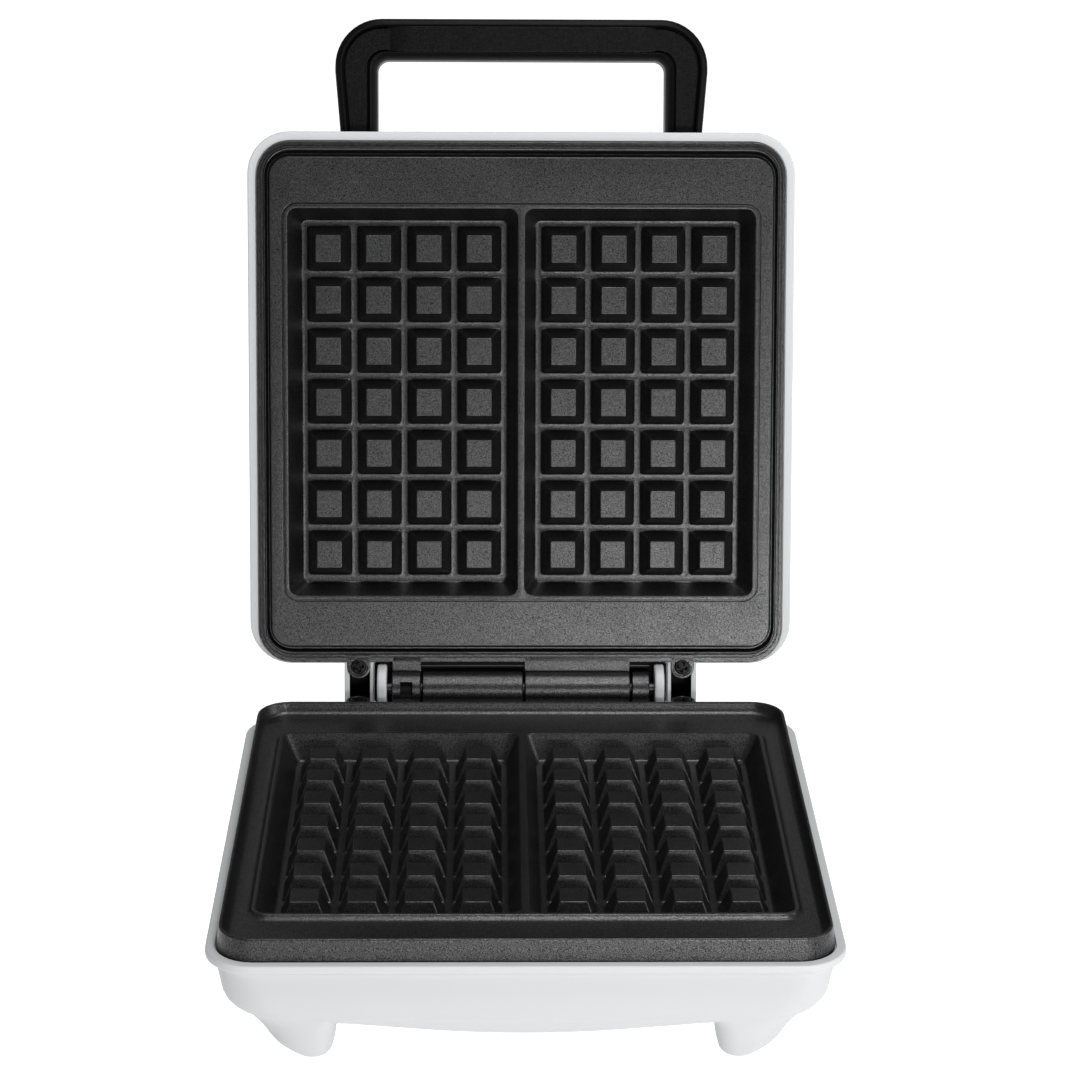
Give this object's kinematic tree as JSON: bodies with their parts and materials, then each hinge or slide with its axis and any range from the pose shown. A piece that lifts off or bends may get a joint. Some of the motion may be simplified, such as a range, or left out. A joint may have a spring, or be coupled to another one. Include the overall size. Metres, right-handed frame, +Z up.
{
  "type": "waffle maker",
  "caption": "Twin-plate waffle maker shown open: white housing on splayed feet, black gridded non-stick plates, loop handle and rear hinge.",
  "frame": {"origin": "on the table, under the centre of the open machine's bounding box", "axes": "+X to the user's right along the hinge, +Y away from the user towards the hinge and the cord inlet, +Z up"},
  "size_m": [0.2616, 0.3754, 0.3695],
  "materials": {
    "shell_white": "satin white moulded housing",
    "pad_grey": "soft grey foot pads",
    "cover_grey": "fine-textured service cover",
    "nonstick": "cast aluminium with a black speckled non-stick coating",
    "black_steel": "blackened pan-head screws",
    "bright_steel": "plain zinc-bright steel",
    "pin_steel": "turned steel pin",
    "element_sheath": "dull oxidised tube",
    "reflector_steel": "thin bright sheet",
    "ceramic": "unglazed ceramic",
    "terminal_brass": "plain brass",
    "fuse_body": "varnished metal can",
    "phenolic": "moulded phenolic",
    "lead_sleeve": "silicone sleeve",
    "gland_black": "soft black bush",
    "lens_red": "translucent red lens",
    "lens_green": "translucent green lens",
    "lamp_glass": "small neon lamp",
    "housing_natural": "natural moulded carrier",
    "handle_black": "fine-textured black moulding",
    "liner_black": "dull black channel",
    "inlay_black": "fine-textured black moulding"
  },
  "bodies": {
    "base": {"base_shell": "shell_white", "base_bottom_cover": "cover_grey", "bottom_cover_screws": "bright_steel", "foot_pads": "pad_grey", "hinge_liner": "liner_black", "lower_plate": "nonstick", "lower_plate_screws": "black_steel", "lower_heating_element": "element_sheath", "lower_element_insulators": "ceramic", "lower_element_clamps": "bright_steel", "lower_clamp_screws": "bright_steel", "lower_heat_reflector": "reflector_steel", "reflector_spacers": "ceramic", "thermal_fuse": "fuse_body", "fuse_clip": "bright_steel", "terminal_block": "ceramic", "terminal_screws": "terminal_brass", "earth_tag": "terminal_brass", "cord_gland": "gland_black", "base_leads": "lead_sleeve", "hinge_pin": "pin_steel", "pin_retaining_rings": "pin_steel"},
    "lid": {"lid_shell": "shell_white", "upper_plate": "nonstick", "upper_plate_screws": "black_steel", "upper_heating_element": "element_sheath", "upper_element_insulators": "ceramic", "upper_element_clamps": "bright_steel", "upper_clamp_screws": "bright_steel", "upper_heat_reflector": "reflector_steel", "thermostat": "phenolic", "thermostat_bracket": "bright_steel", "thermostat_screws": "bright_steel", "lid_leads": "lead_sleeve", "indicator_housing": "housing_natural", "power_lens": "lens_red", "ready_lens": "lens_green", "indicator_lamps": "lamp_glass", "handle": "handle_black", "handle_inlay": "inlay_black", "handle_screws": "bright_steel"}
  },
  "joints": [
    {"name": "lid_hinge", "type": "hinge", "parent": "base", "child": "lid", "pos_m": [0, 0.07972, 0.06], "axis": [1, 0, 0], "range_deg": [0, 103.85]}
  ]
}
